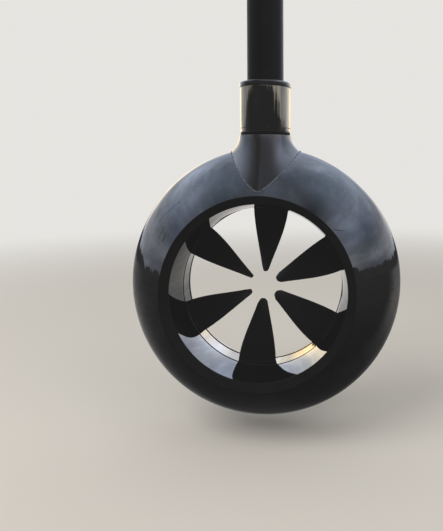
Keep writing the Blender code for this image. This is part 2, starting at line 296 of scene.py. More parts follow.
broad = {"Detail": 7.0, "Roughness": 0.6, "Distortion": 0.25}
fine = {"Detail": 6.0, "Roughness": 0.65, "Distortion": 0.3}
patches = uneven((2.6, 2.6, 5.5), broad, (0.3, 0.7), (0.76, 1.24))
wisps = uneven((5.0, 5.0, 16.0), fine, (0.52, 0.74), (1.0, 1.35))
lit = add_node(tree, "ShaderNodeMath", (patches, wisps), operation="MULTIPLY")
for toward, wide, narrow, most in (
    ((-0.730, 0.345, 0.590), 0.925, 0.990, (1.48, 1.48, 1.48)),
    ((0.580, 0.248, 0.776), 0.900, 0.985, (1.32, 1.32, 1.32)),
    ((0.870, -0.270, 0.410), 0.930, 0.985, (1.45, 1.45, 1.45)),
    ((-0.520, 0.852, 0.060), 0.958, 0.990, (1.90, 1.80, 1.55)),
    ((0.440, 0.881, 0.180), 0.930, 0.980, (1.12, 1.18, 1.36)),
):
    glow = add_node(tree, "ShaderNodeVectorMath", (leaving, toward), operation="DOT_PRODUCT", out="Value")
    glow = add_node(
        tree, "ShaderNodeMapRange", {"Value": glow, "From Min": wide, "From Max": narrow}, **SOFT_ENDS
    )
    gain = add_node(
        tree, "ShaderNodeMix", {0: glow, 6: (1.0, 1.0, 1.0, 1.0), 7: (*most, 1.0)}, data_type="RGBA", out=2
    )
    lit = add_node(tree, "ShaderNodeVectorMath", (lit, gain), operation="MULTIPLY")
upper = add_node(tree, "ShaderNodeVectorMath", (upper, lit), operation="MULTIPLY")
print("patches, wisps and glows drawn")

# %% Two lower cards: grey behind, nearly black in front
LOWER_CARDS = {
    "behind": (
        (0.00, "#929294"),
        (0.20, "#9A9999"),
        (0.30, "#A6A3A0"),
        (0.42, "#8C8A89"),
        (0.56, "#585859"),
        (0.72, "#282828"),
        (1.00, "#060606"),
    ),
    "ahead": ((0.00, "#1E1E20"), (0.30, "#1A1A1B"), (0.60, "#101010"), (1.00, "#070707")),
}
lower_card = {}
for name, stops in LOWER_CARDS.items():
    lower_card[name] = add_node(tree, "ShaderNodeValToRGB", (depth,), stops=stops)
reach = add_node(tree, "ShaderNodeClamp", (behind,))
reach_left = add_node(tree, "ShaderNodeMath", (reach, 4.2), operation="POWER")
reach_right = add_node(tree, "ShaderNodeMath", (reach, 8.0), operation="POWER")
ledge = add_node(
    tree,
    "ShaderNodeMapRange",
    {"Value": behind, "From Min": 0.28, "From Max": 0.56, "To Max": 0.16},
    **SOFT_ENDS,
)
reach_right = add_node(tree, "ShaderNodeMath", (reach_right, 0.36, ledge), operation="MULTIPLY_ADD")
side = add_node(tree, "ShaderNodeMapRange", {"Value": aside, "From Min": -0.10, "From Max": 0.20})
reach = add_node(tree, "ShaderNodeMix", {0: side, 2: reach_left, 3: reach_right})
sides = {0: reach, 6: lower_card["ahead"], 7: lower_card["behind"]}
lower = add_node(tree, "ShaderNodeMix", sides, data_type="RGBA", out=2)
layers = uneven((5.0, 5.0, 42.0), {"Detail": 5.0, "Roughness": 0.6}, (0.3, 0.7), (0.85, 1.15))
lower = add_node(tree, "ShaderNodeVectorMath", (lower, layers), operation="MULTIPLY")
print("lower cards ready")

# %% [markdown]
# Between upper and lower cards stands a dark card with a ragged top at eye level, low behind and at the
# sides, and tall in front. In a polished upright cylinder such an edge turns into tall dark streaks,
# because the cylinder squeezes the whole front into a narrow strip. A curve over the compass gives its
# height, and noise frays it.

# %% The ragged card
ragged = add_node(tree, "ShaderNodeFloatCurve", {"Value": compass}, out=None)
curve = ragged.mapping.curves[0]
RAGGED_SINK = 0.1
ragged_levels = (
    (0.000, 0.012),
    (0.150, 0.000),
    (0.175, -0.030),
    (0.205, -0.060),
    (0.226, -0.050),
    (0.238, 0.060),
    (0.253, 0.118),
    (0.292, 0.142),
    (0.344, 0.172),
    (0.417, 0.202),
    (0.500, 0.207),
    (0.575, 0.178),
    (0.625, 0.150),
    (0.683, 0.129),
    (0.710, 0.108),
    (0.728, 0.050),
    (0.745, 0.012),
    (0.778, 0.002),
    (0.806, 0.000),
    (0.850, 0.002),
    (0.917, 0.012),
    (1.000, 0.012),
)
for place, level in ragged_levels[1:-1]:
    curve.points.new(place, level + RAGGED_SINK)
for index in (0, -1):
    curve.points[index].location = (ragged_levels[index][0], ragged_levels[index][1] + RAGGED_SINK)
ragged.mapping.update()
frays = add_node(
    tree, "ShaderNodeTexNoise", {"Vector": around, "Scale": 16.0, "Detail": 6.0, "Roughness": 0.78}
)
fray = add_node(tree, "ShaderNodeMath", (frays, 2.0, -1.0), operation="MULTIPLY_ADD")
wild = add_node(tree, "ShaderNodeMapRange", {"Value": to_front, "To Min": 0.10, "To Max": 0.13})
shaken = add_node(tree, "ShaderNodeMath", (fray, wild, -RAGGED_SINK), operation="MULTIPLY_ADD")
edge = add_node(tree, "ShaderNodeMath", (ragged.outputs["Value"], shaken), operation="ADD")
above = add_node(tree, "ShaderNodeMath", (height, edge), operation="SUBTRACT")
clear = add_node(tree, "ShaderNodeMapRange", {"Value": above, "From Max": 0.004})
sunk = add_node(
    tree, "ShaderNodeMapRange", {"Value": depth, "From Min": 0.07, "From Max": 0.11}, **SOFT_ENDS
)
bank = add_node(
    tree,
    "ShaderNodeMix",
    {0: to_front, 6: linear("#212123"), 7: linear("#0F1114")},
    data_type="RGBA",
    out=2,
)
shown = add_node(tree, "ShaderNodeMix", {0: sunk, 6: bank, 7: lower}, data_type="RGBA", out=2)
shown = add_node(tree, "ShaderNodeMix", {0: clear, 6: shown, 7: upper}, data_type="RGBA", out=2)
print("ragged card ready with", len(curve.points), "points")

# %% The flags
# Two tall dark cards, called flags, stand in front, left of the middle. The narrow one draws the dark line
# down the neck, and the wide one dims the neck's left half.
for toward, narrow, wide, low, high, full, gone, share in (
    ((-0.559, -0.829, 0.0), 0.975, 0.935, 0.10, 0.12, 0.86, 0.94, 0.85),
    ((-0.883, -0.469, 0.0), 0.970, 0.800, 0.35, 0.50, 0.78, 0.88, 0.55),
):
    facing = add_node(tree, "ShaderNodeVectorMath", (around, toward), operation="DOT_PRODUCT", out="Value")
    flag = add_node(
        tree, "ShaderNodeMapRange", {"Value": facing, "From Min": wide, "From Max": narrow}, **SOFT_ENDS
    )
    flag_top = add_node(
        tree, "ShaderNodeMapRange", {"Value": height, "From Min": gone, "From Max": full, "To Max": share}
    )
    flag_foot = add_node(tree, "ShaderNodeMapRange", {"Value": height, "From Min": low, "From Max": high})
    flag = add_node(tree, "ShaderNodeMath", (flag, flag_top), operation="MULTIPLY")
    flag = add_node(tree, "ShaderNodeMath", (flag, flag_foot), operation="MULTIPLY")
    shown = add_node(
        tree, "ShaderNodeMix", {0: flag, 6: shown, 7: linear("#131315")}, data_type="RGBA", out=2
    )
print("flags ready")

# %% Who sees which world
rays = add_node(tree, "ShaderNodeLightPath", out=None).outputs
cards = add_node(tree, "ShaderNodeBackground", {"Color": shown, "Strength": 1.92})
even = add_node(tree, "ShaderNodeBackground", {"Color": linear("#F4F2EE"), "Strength": 0.55})
plain = add_node(tree, "ShaderNodeBackground", {"Color": linear(PALE), "Strength": 1.0})
inner = add_node(tree, "ShaderNodeMixShader", (rays["Is Glossy Ray"], even, cards))
outer = add_node(tree, "ShaderNodeMixShader", (rays["Is Camera Ray"], inner, plain))
add_node(tree, "ShaderNodeOutputWorld", {"Surface": outer}, out=None)
print("world ready:", len(tree.nodes), "nodes")

# %% Lamps
# Two large soft lamps give the floor its shadow and the matt parts their shape. Mirrors don't see them. A
# lens pointed at a bright background also lays a thin veil of stray light over the blacks: a lifted black
# level.
VEIL = 0.009
for name, place, size, power in (
    ("key lamp", (-1.4, -1.1, 1.5), 1.6, 34.0),
    ("fill lamp", (1.5, -1.4, 0.7), 1.8, 14.0),
):
    lamp_data = bpy.data.lights.new(name, "AREA")
    lamp_data.size = size
    lamp_data.energy = power
    lamp_data.color = linear("#FFF8EE")[:3]
    lamp = bpy.data.objects.new(name, lamp_data)
    lamp.location = place
    aim = Vector((0.0, 0.0, AXIS_Z)) - Vector(place)
    lamp.rotation_euler = aim.to_track_quat("-Z", "Y").to_euler()
    lamp.visible_glossy = False
    bpy.context.scene.collection.objects.link(lamp)
    print(name, power, "W")

view = bpy.context.scene.view_settings
view.view_transform = "Standard"
view.use_curve_mapping = True
view.curve_mapping.black_level = (-VEIL, -VEIL, -VEIL)
print("veil", VEIL)

# %% [markdown]
# ## Polished stainless steel
#
# The ring, the neck and the collar are stainless steel, ground and then polished on a wheel to a mirror.
# The eye reads it by what it shows: sharp reflections that waver a little, because a hand-held wheel
# leaves long shallow waves, and thin streaks that follow the wheel's path round each turned piece. Real
# streaks are a few hundredths of a millimetre apart, which is too fine to show here, so they are drawn 2
# mm apart. The waves are about 45 mm long, and faint smears from handling about 30 mm wide.
#
# The streaks need round coordinates. Object coordinates give x, y and z; the angle round the piece's axis
# and the distance from it make noise stretch along the turning.

# %% Steel
STREAK_MM = 2.0


def polished_steel(name, axis, roughness, clean="#BFBEBC", worn="#B2B1B0", arcs=()):
    """Mirror-polished steel with streaks round the ring's Y axis or the pole's Z axis."""
    material = bpy.data.materials.new(name)
    material.use_nodes = True
    tree = material.node_tree
    shader = tree.nodes["Principled BSDF"]
    shader.inputs["Metallic"].default_value = 1.0
    place = add_node(tree, "ShaderNodeTexCoord", out="Object")
    centred = add_node(tree, "ShaderNodeMapping", {"Vector": place, "Location": (0.0, 0.0, -AXIS_Z)})
    parts = add_node(tree, "ShaderNodeSeparateXYZ", (centred,), out=None).outputs
    x = parts["X"]
    other = parts["Z" if axis == "Y" else "Y"]
    along = parts[axis]
    angle = add_node(tree, "ShaderNodeMath", (x, other), operation="ARCTAN2")
    flat = add_node(tree, "ShaderNodeCombineXYZ", (x, other))
    radius = add_node(tree, "ShaderNodeVectorMath", (flat,), operation="LENGTH", out="Value")
    turning = add_node(tree, "ShaderNodeCombineXYZ", (radius, along, angle))
    fineness = 1000 / STREAK_MM
    stretched = add_node(tree, "ShaderNodeMapping", {"Vector": turning, "Scale": (fineness, fineness, 2.5)})
    streaks = add_node(tree, "ShaderNodeTexNoise", {"Vector": stretched, "Scale": 1.0, "Detail": 4.0})
    waves = add_node(tree, "ShaderNodeTexNoise", {"Vector": centred, "Scale": 22.0, "Detail": 1.0})
    smears = add_node(
        tree, "ShaderNodeTexNoise", {"Vector": centred, "Scale": 34.0, "Detail": 7.0, "Roughness": 0.6}
    )
    handled = add_node(
        tree, "ShaderNodeMapRange", {"Value": smears, "From Min": 0.46, "From Max": 0.75}, **SOFT_ENDS
    )
    tint = add_node(
        tree, "ShaderNodeMix", {0: handled, 6: linear(clean), 7: linear(worn)}, data_type="RGBA", out=2
    )
    level = add_node(tree, "ShaderNodeTexNoise", {"Vector": centred, "Scale": 11.0, "Detail": 0.5})
    crossing = add_node(tree, "ShaderNodeMath", (level, 0.5, 0.0025), operation="COMPARE")
    where = add_node(tree, "ShaderNodeMapRange", {"Value": smears, "From Min": 0.60, "From Max": 0.66})
    scratch = add_node(tree, "ShaderNodeMath", (crossing, where), operation="MULTIPLY")
    for middle, half, start, slope in arcs:
        line = add_node(tree, "ShaderNodeMath", (angle, slope, start), operation="MULTIPLY_ADD")
        arc = add_node(tree, "ShaderNodeMath", (along, line, 0.0003), operation="COMPARE")
        within = add_node(tree, "ShaderNodeMath", (angle, middle, half), operation="COMPARE")
        outside = add_node(tree, "ShaderNodeMath", (radius, 0.160, 0.030), operation="COMPARE")
        within = add_node(tree, "ShaderNodeMath", (within, outside), operation="MULTIPLY")
        arc = add_node(tree, "ShaderNodeMath", (arc, within), operation="MULTIPLY")
        scratch = add_node(tree, "ShaderNodeMath", (scratch, arc), operation="MAXIMUM")
    tint = add_node(
        tree, "ShaderNodeMix", {0: scratch, 6: tint, 7: linear("#5A5A5C")}, data_type="RGBA", out=2
    )
    dull = add_node(tree, "ShaderNodeMath", (handled, 0.04, roughness), operation="MULTIPLY_ADD")
    rough = add_node(tree, "ShaderNodeMath", (streaks, 0.03, dull), operation="MULTIPLY_ADD")
    coarse = add_node(tree, "ShaderNodeBump", {"Height": waves, "Strength": 1.0, "Distance": 0.0004})
    fine = add_node(
        tree, "ShaderNodeBump", {"Height": streaks, "Normal": coarse, "Strength": 1.0, "Distance": 0.000004}
    )
    tree.links.new(tint, shader.inputs["Base Color"])
    tree.links.new(rough, shader.inputs["Roughness"])
    tree.links.new(fine, shader.inputs["Normal"])
    return material


# Each long scratch: its middle and half length in radians, and its place along the axis with its slope.
LONG_SCRATCHES = ((-0.868, 0.127, -0.0621, -0.0217), (-1.033, 0.057, -0.0550, 0.0))
ring_steel = polished_steel("polished stainless steel, ring", "Y", 0.01, arcs=LONG_SCRATCHES)
neck_steel = polished_steel("polished stainless steel, neck", "Z", 0.17, "#CAC8C4", "#BCBAB7")
# The collar's two steel colours are tinted warm: a painted warm reflection laid into the steel's own
# colour. Only the slightly darker handled patches are real.
collar_steel_painted_warm = polished_steel("polished stainless steel, collar", "Z", 0.01, "#FCF0DA", "#F0E5D0")
print("steels:", ring_steel.name, neck_steel.name, collar_steel_painted_warm.name, sep="; ")

# %% [markdown]
# ## The black finishes
#
# Four blacks sit side by side. The pole's coating is a satin powder coat with the faint dimples that the
# powder leaves as it melts. The lips are moulded rubber, duller, with a fine grain. The blades are
# moulded fibre-filled plastic with a soft satin gloss. The body behind the gaps is casting resin. All
# four reflect about 4% as plain plastics do, so only roughness, grain and a trace of grey dust tell them
# apart.

# %% Blacks


def black_finish(name, colour, dust, roughness, spread, grain_mm, depth_mm):
    """A black finish whose grain has a size and a depth in millimetres, with a trace of lighter dust."""
    material = bpy.data.materials.new(name)
    material.use_nodes = True
    tree = material.node_tree
    shader = tree.nodes["Principled BSDF"]
    shader.inputs["IOR"].default_value = 1.5
    place = add_node(tree, "ShaderNodeTexCoord", out="Object")
    grain = add_node(
        tree, "ShaderNodeTexNoise", {"Vector": place, "Scale": 1000.0 / grain_mm, "Detail": 2.0}
    )
    mottle = add_node(
        tree, "ShaderNodeTexNoise", {"Vector": place, "Scale": 28.0, "Detail": 6.0, "Roughness": 0.65}
    )
    settled = add_node(tree, "ShaderNodeMapRange", {"Value": mottle, "From Min": 0.45, "From Max": 0.8})
    tint = add_node(
        tree, "ShaderNodeMix", {0: settled, 6: linear(colour), 7: linear(dust)}, data_type="RGBA", out=2
    )
    rough = add_node(tree, "ShaderNodeMath", (mottle, spread, roughness), operation="MULTIPLY_ADD")
    bump = add_node(tree, "ShaderNodeBump", {"Height": grain, "Strength": 1.0, "Distance": depth_mm / 1000})
    tree.links.new(tint, shader.inputs["Base Color"])
    tree.links.new(rough, shader.inputs["Roughness"])
    tree.links.new(bump, shader.inputs["Normal"])
    return material


powder_coat = black_finish("satin black powder coat", "#080808", "#101010", 0.34, 0.12, 2.5, 0.03)
rubber = black_finish("moulded black rubber", "#0C0C0C", "#121212", 0.55, 0.15, 1.2, 0.05)
blade_plastic = black_finish("fibre-filled black plastic", "#0A0A0A", "#101010", 0.52, 0.12, 1.6, 0.03)
resin = black_finish("black casting resin", "#050505", "#090909", 0.48, 0.10, 2.0, 0.04)
print("blacks:", powder_coat.name, rubber.name, blade_plastic.name, resin.name, sep=", ")

# %% [markdown]
# ## Turned pieces
#
# Nearly all of this machine is turned on a lathe or spun: ring, nozzles, lips, rim, collar and pole are
# each a section swept round an axis. A screw modifier or a spin could do it, but a Geometry Nodes tree
# says the rule itself: a grid whose columns are steps round the axis and whose rows are the points of the
# section. Each grid point looks up its section point by row, and sine and cosine of its column put it in
# place.

# %% How a tree starts and ends


def new_tree(name, inputs, output):
    """A Geometry Nodes tree with named inputs and one output, and the sockets that bring its inputs."""
    tree = bpy.data.node_groups.new(name, "GeometryNodeTree")
    tree.is_modifier = True
    for title, kind in inputs.items():
        tree.interface.new_socket(title, in_out="INPUT", socket_type="NodeSocket" + kind)
    tree.interface.new_socket(output, in_out="OUTPUT", socket_type="NodeSocketGeometry")
    return tree, add_node(tree, "NodeGroupInput", out=None).outputs


def end_tree(tree, shape, finish):
    """Ends a tree with real geometry instead of instances, in its finish."""
    real = add_node(tree, "GeometryNodeRealizeInstances", {"Geometry": shape})
    finished = add_node(tree, "GeometryNodeSetMaterial", {"Geometry": real, "Material": finish})
    add_node(tree, "NodeGroupOutput", (finished,), out=None)
    print(tree.name + ":", len(tree.nodes), "nodes")


print("each tree ends in real geometry with its finish")

# %% The turning tree
turning_inputs = {
    "Section": "Geometry",
    "Steps": "Int",
    "Upright": "Bool",
    "Axis height": "Float",
    "Finish": "Material",
}
turning, given = new_tree("turn a section", turning_inputs, "Piece")
count = add_node(
    turning, "GeometryNodeAttributeDomainSize", (given["Section"],), component="MESH", out="Point Count"
)
rows = add_node(turning, "ShaderNodeMath", (count, 1.0), operation="ADD")
columns = add_node(turning, "ShaderNodeMath", (given["Steps"], 1.0), operation="ADD")
grid = add_node(
    turning,
    "GeometryNodeMeshGrid",
    {"Size X": given["Steps"], "Size Y": count, "Vertices X": columns, "Vertices Y": rows},
    out="Mesh",
)
spot = add_node(turning, "GeometryNodeInputPosition")
cell = add_node(turning, "ShaderNodeSeparateXYZ", (spot,), out=None).outputs
share = add_node(turning, "ShaderNodeMath", (cell["X"], given["Steps"]), operation="DIVIDE")
turn = add_node(turning, "ShaderNodeMath", (share, 2 * math.pi, math.pi), operation="MULTIPLY_ADD")
middle = add_node(turning, "ShaderNodeMath", (count, 0.5), operation="MULTIPLY")
row = add_node(turning, "ShaderNodeMath", (cell["Y"], middle), operation="ADD")
row = add_node(turning, "ShaderNodeMath", (row,), operation="ROUND")
row = add_node(turning, "ShaderNodeMath", (row, count), operation="MODULO")
found = add_node(
    turning,
    "GeometryNodeSampleIndex",
    {"Geometry": given["Section"], "Value": spot, "Index": row},
    data_type="FLOAT_VECTOR",
    domain="POINT",
    out="Value",
)
point = add_node(turning, "ShaderNodeSeparateXYZ", (found,), out=None).outputs
radius = point["X"]
along = point["Y"]
sine = add_node(turning, "ShaderNodeMath", (turn,), operation="SINE")
cosine = add_node(turning, "ShaderNodeMath", (turn,), operation="COSINE")
across = add_node(turning, "ShaderNodeMath", (radius, sine), operation="MULTIPLY")
other = add_node(turning, "ShaderNodeMath", (radius, cosine), operation="MULTIPLY")
raised = add_node(turning, "ShaderNodeMath", (other, given["Axis height"]), operation="ADD")
lying = add_node(turning, "ShaderNodeCombineXYZ", (across, along, raised))
upright = add_node(turning, "ShaderNodeCombineXYZ", (across, other, along))
placed = add_node(
    turning,
    "GeometryNodeSwitch",
    {"Switch": given["Upright"], "False": lying, "True": upright},
    input_type="VECTOR",
)
shaped = add_node(turning, "GeometryNodeSetPosition", {"Geometry": grid, "Position": placed})
closed = add_node(turning, "GeometryNodeMergeByDistance", {"Geometry": shaped, "Distance": 0.00001})
end_tree(turning, closed, given["Finish"])

# %% [markdown]
# ## From a tree to a piece
#
# A modifier's inputs are set by their sockets' identifiers. The result is then made a plain mesh: doubled
# points are gone, normals face outwards, and edges sharper than a given angle stay sharp in the shading.
# Last, the piece is told which body carries it, and the plain CAD solids that it stands for are hidden.

# %% Trees to pieces
STEPS = 256


def grown(name, base_mesh, tree, inputs):
    """The plain mesh object that a tree makes from a base mesh."""
    source = bpy.data.objects.new(name + " source", base_mesh)
    bpy.context.scene.collection.objects.link(source)
    modifier = source.modifiers.new("tree", "NODES")
    modifier.node_group = tree
    for socket in tree.interface.items_tree:
        if socket.in_out == "INPUT" and socket.name in inputs:
            modifier[socket.identifier] = inputs[socket.name]
    graph = bpy.context.evaluated_depsgraph_get()
    mesh = bpy.data.meshes.new_from_object(source.evaluated_get(graph))
    bpy.data.objects.remove(source)
    mesh.name = name
    piece = bpy.data.objects.new(name, mesh)
    bpy.context.scene.collection.objects.link(piece)
    return piece


def smoothed(piece, sharp_angle=30):
    """Outward normals and smooth shading, with creases where faces meet at more than the angle."""
    builder = bmesh.new()
    builder.from_mesh(piece.data)
    bmesh.ops.recalc_face_normals(builder, faces=builder.faces[:])
    builder.to_mesh(piece.data)
    builder.free()
    piece.data.shade_smooth()
    piece.data.set_sharp_from_angle(angle=math.radians(sharp_angle))
    return piece


def dress(piece, body, slot, *nodes):
    """Lets a piece ride on a body and hides the CAD nodes that it stands for; the slot is not used."""
    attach(piece, body)
    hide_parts(*nodes)
    print(piece.name, len(piece.data.polygons), "faces, for", ", ".join(nodes))


def rounded(corners, arc_points=6):
    """Section points from (radius, along, rounding) corners; a rounding of 0 keeps the corner.

    A support point on each side of an arc keeps the arc's bent shading off the flat faces beside it.
    """
    support = 1.5
    points = []
    for index, (radius, along, rounding) in enumerate(corners):
        here = Vector((radius, along))
        if rounding == 0:
            points.append(here)
            continue
        before = Vector(corners[index - 1][:2]) - here
        after = Vector(corners[(index + 1) % len(corners)][:2]) - here
        start = here + before.normalized() * rounding
        end = here + after.normalized() * rounding
        points.append(here + before.normalized() * rounding * support)
        for step in range(arc_points):
            share = step / (arc_points - 1)
            points.append(start.lerp(here, share).lerp(here.lerp(end, share), share))
        points.append(here + after.normalized() * rounding * support)
    return points


def turned(name, section, axis, finish, sharp_angle=30):
    """A piece turned from a closed section of (radius, along) points about the ring's or pole's axis."""
    base = bpy.data.meshes.new(name + " section")
    base.from_pydata([(radius, along, 0.0) for radius, along in section], [], [])
    inputs = {
        "Steps": STEPS if axis == "Y" else STEPS // 2,
        "Upright": axis == "Z",
        "Axis height": AXIS_Z,
        "Finish": finish,
    }
    return smoothed(grown(name, base, turning, inputs), sharp_angle)


print("a turned piece has", STEPS, "steps round the ring's axis")

# %% [markdown]
# ## The nozzle ring
#
# The ring is a spun steel shell, long and conical in front, short and blunt behind, widest just behind
# the pole. Its outline follows a power of the distance from the widest plane, so the same function gives
# the shell, the seat of the neck and the path of the weld.

# %% Ring sizes
RING_AFT = 0.004
RING_R = 0.188
FRONT_LENGTH = 0.081
REAR_LENGTH = 0.034
FRONT_FULLNESS = 1.45
REAR_FULLNESS = 2.5
FRONT_CREASE_R = 0.1238
REAR_CREASE_R = 0.132
SHELL_WALL = 0.005
SHELL_FRONT_Y = RING_AFT - FRONT_LENGTH
SHELL_REAR_Y = RING_AFT + REAR_LENGTH
FRONT_POINTS = 40
REAR_POINTS = 26
INSIDE_POINTS = 8


def ring_r(y):
    """Radius of the ring's outside at a place y along the axis."""
    length, crease_r, fullness = FRONT_LENGTH, FRONT_CREASE_R, FRONT_FULLNESS
    if y > RING_AFT:
        length, crease_r, fullness = REAR_LENGTH, REAR_CREASE_R, REAR_FULLNESS
    share = min(abs(y - RING_AFT) / length, 1.0)
    return crease_r + (RING_R - crease_r) * (1 - share**fullness)


def swing(start, end, count):
    """Places from start to end, closer together towards the end."""
    return [start + (end - start) * math.sin(math.pi / 2 * step / (count - 1)) for step in range(count)]


outside = [(ring_r(y), y) for y in reversed(swing(RING_AFT, SHELL_FRONT_Y, FRONT_POINTS))]
outside += [(ring_r(y), y) for y in swing(RING_AFT, SHELL_REAR_Y, REAR_POINTS)[1:]]
wall_front = SHELL_FRONT_Y + SHELL_WALL
wall_rear = SHELL_REAR_Y - SHELL_WALL
inside = [(ring_r(y) - SHELL_WALL, y) for y in reversed(swing(RING_AFT, wall_rear, INSIDE_POINTS))]
inside += [(ring_r(y) - SHELL_WALL, y) for y in swing(RING_AFT, wall_front, INSIDE_POINTS)[1:]]
ring = turned("ring_outside", outside + inside, "Y", ring_steel, sharp_angle=40)
dress(ring, "housing", "polished_steel", "ring_shell")

# %% [markdown]
# ## Lips and nozzles
#
# A black rubber lip closes the gap between shell and bore on both sides. The bore in front of the rotor
# is a flared mirror that shows the blades once more, bent; behind the rotor it is straight for 5 mm and
# then opens as a cone, so from the front only its first edge shows.

# %% Lips and nozzles
LIP_INSET = 0.006
LIP_EDGE = 0.0015
LIP_DEEP = 0.006
FIT = 0.0003
THROAT_R = 0.1068
INTAKE_FLARE = 0.0062
OUTLET_FLARE = 0.0132
OUTLET_STRAIGHT = 0.005
NOZZLE_WALL = 0.003
INTAKE_POINTS = 24
FLARE_POWER = 1.2
RIM_HALF = 0.012
FRONT_GAP = 0.0022
REAR_GAP = 0.0025
RIM_FRONT_Y = ROTOR_Y - RIM_HALF
RIM_REAR_Y = ROTOR_Y + RIM_HALF
INTAKE_END_Y = RIM_FRONT_Y - FRONT_GAP
OUTLET_START_Y = RIM_REAR_Y + REAR_GAP

for name, node, crease_y, crease_r, inner_r, toward in (
    ("lip_front", "front_lip", SHELL_FRONT_Y, FRONT_CREASE_R, THROAT_R + INTAKE_FLARE, -1),
    ("lip_rear", "rear_lip", SHELL_REAR_Y, REAR_CREASE_R, THROAT_R + OUTLET_FLARE, 1),
):
    edge_y = crease_y - toward * LIP_INSET
    corners = [
        (crease_r - FIT, crease_y, 0.0004),
        (inner_r, edge_y, 0.0007),
        (inner_r, edge_y - toward * LIP_EDGE, 0.0),
        (inner_r + NOZZLE_WALL + FIT, edge_y - toward * LIP_EDGE, 0.0),
        (inner_r + NOZZLE_WALL + FIT, edge_y - toward * LIP_DEEP, 0.0),
        (crease_r - 2 * FIT, edge_y - toward * LIP_DEEP, 0.0),
    ]
    lip = turned(name, rounded(corners), "Y", rubber, sharp_angle=25)
    dress(lip, "housing", "black_rubber", node)

mouth_y = SHELL_FRONT_Y + LIP_INSET + LIP_EDGE + FIT
intake_length = mouth_y - INTAKE_END_Y
places = [INTAKE_END_Y + intake_length * step / (INTAKE_POINTS - 1) for step in range(INTAKE_POINTS)]
shares = [(y - INTAKE_END_Y) / intake_length for y in places]
bore = [(THROAT_R + INTAKE_FLARE * share**FLARE_POWER, y) for share, y in zip(shares, places)]
back = [(radius + NOZZLE_WALL, y) for radius, y in bore[::-1][::4]]
intake = turned("nozzle_intake", bore + back, "Y", ring_steel)
dress(intake, "housing", "polished_steel", "intake_nozzle")

tail_y = SHELL_REAR_Y - LIP_INSET - LIP_EDGE - FIT
bend_y = OUTLET_START_Y + OUTLET_STRAIGHT
corners = [
    (THROAT_R, OUTLET_START_Y, 0.0004),
    (THROAT_R, bend_y, 0.0012),
    (THROAT_R + OUTLET_FLARE, tail_y, 0.0),
    (THROAT_R + OUTLET_FLARE + NOZZLE_WALL, tail_y, 0.0),
    (THROAT_R + NOZZLE_WALL, bend_y, 0.0),
    (THROAT_R + NOZZLE_WALL, OUTLET_START_Y, 0.0),
]
outlet = turned("nozzle_outlet", rounded(corners), "Y", ring_steel, sharp_angle=20)
dress(outlet, "housing", "polished_steel", "outlet_nozzle")

# %% Gap ring
# The gap behind the rim is a shadow. A thin rubber ring just in front of the outlet draws it.
GAP_IN_R = THROAT_R - 0.0009
GAP_OUT_R = THROAT_R + 0.0008
GAP_FRONT_Y = OUTLET_START_Y - 0.0011
GAP_REAR_Y = OUTLET_START_Y - 0.0001
corners = [
    (GAP_IN_R, GAP_FRONT_Y, 0.0003),
    (GAP_IN_R, GAP_REAR_Y, 0.0003),
    (GAP_OUT_R, GAP_REAR_Y, 0.0),
    (GAP_OUT_R, GAP_FRONT_Y, 0.0),
]
gap_ring = turned("gap_ring", rounded(corners), "Y", rubber)
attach(gap_ring, "housing")
print("gap ring", len(gap_ring.data.polygons), "faces, in the scene only")

# %% [markdown]
# ## Rim and blades
#
# The rim is a plain polished ring with broken edges. A blade is moulded in one shape, and six of them are
# the same blade turned by 60 degrees, so one mesh is drawn with care and a tree repeats it round the
# axis.
#
# The blade is a screw surface: as its angle grows it moves along the axis by its pitch. Its thickness is
# that of a lens across the blade, grows from tip to root, and spreads in a small fillet where it meets
# the rim.

# %% Rim
RIM_BORE_R = 0.1065
RIM_WALL = 0.005
corners = [
    (RIM_BORE_R, RIM_FRONT_Y, 0.0005),
    (RIM_BORE_R, RIM_REAR_Y, 0.0005),
    (RIM_BORE_R + RIM_WALL, RIM_REAR_Y, 0.0),
    (RIM_BORE_R + RIM_WALL, RIM_FRONT_Y, 0.0),
]
rim = turned("rim", rounded(corners), "Y", ring_steel)
dress(rim, "rotor", "polished_steel", "rotor_rim")

# %% One blade
BLADE_Y = ROTOR_Y - 0.002
PITCH = 0.222
TIP_R = 0.0186
CORNER = 0.0062
LEADING = (17.0, 20.1, 18.3)
TRAILING = (-7.1, -8.8, -7.8)
TIP_THICK = 0.0035
ROOT_THICK = 0.0060
EDGE_THICK = 0.0014
ROOT_OVERLAP = 0.0004
FILLET = 0.003
FILLET_REACH = 0.0012


def swell(values, share):
    """The parabola through three values at the tip, the middle and the root."""
    tip, middle, root = values
    bulge = middle * 4 * share * (1 - share)
    return tip * (1 - share) * (1 - 2 * share) + bulge + root * share * (2 * share - 1)


def blade_point(out, across, side):
    """A point on one side of the blade: out from tip to root, across from leading to trailing edge."""
    bow = abs(2 * across - 1)
    tip_r = TIP_R + CORNER * bow**2
    radius = tip_r + (RIM_BORE_R + ROOT_OVERLAP - tip_r) * out
    lead = swell(LEADING, out)
    angle = lead + (swell(TRAILING, out) - lead) * across
    turn = math.radians(angle)
    y = -(angle - (LEADING[1] + TRAILING[1]) / 2) / 360 * PITCH
    around = Vector((-radius * math.cos(turn), -PITCH / (2 * math.pi), radius * math.sin(turn)))
    outward = Vector((-math.sin(turn), 0.0, -math.cos(turn)))
    normal = around.cross(outward).normalized()
    full = TIP_THICK + (ROOT_THICK - TIP_THICK) * out
    thickness = EDGE_THICK + (full - EDGE_THICK) * (1 - bow**2)
    fillet = FILLET * math.exp(-(RIM_BORE_R - radius) / FILLET_REACH)
    moved = Vector((-radius * math.sin(turn), y, -radius * math.cos(turn)))
    moved += normal * side * (thickness / 2 + fillet * (1 - bow**6))
    flat = math.hypot(moved.x, moved.z)
    return Vector((moved.x * radius / flat, moved.y, moved.z * radius / flat))


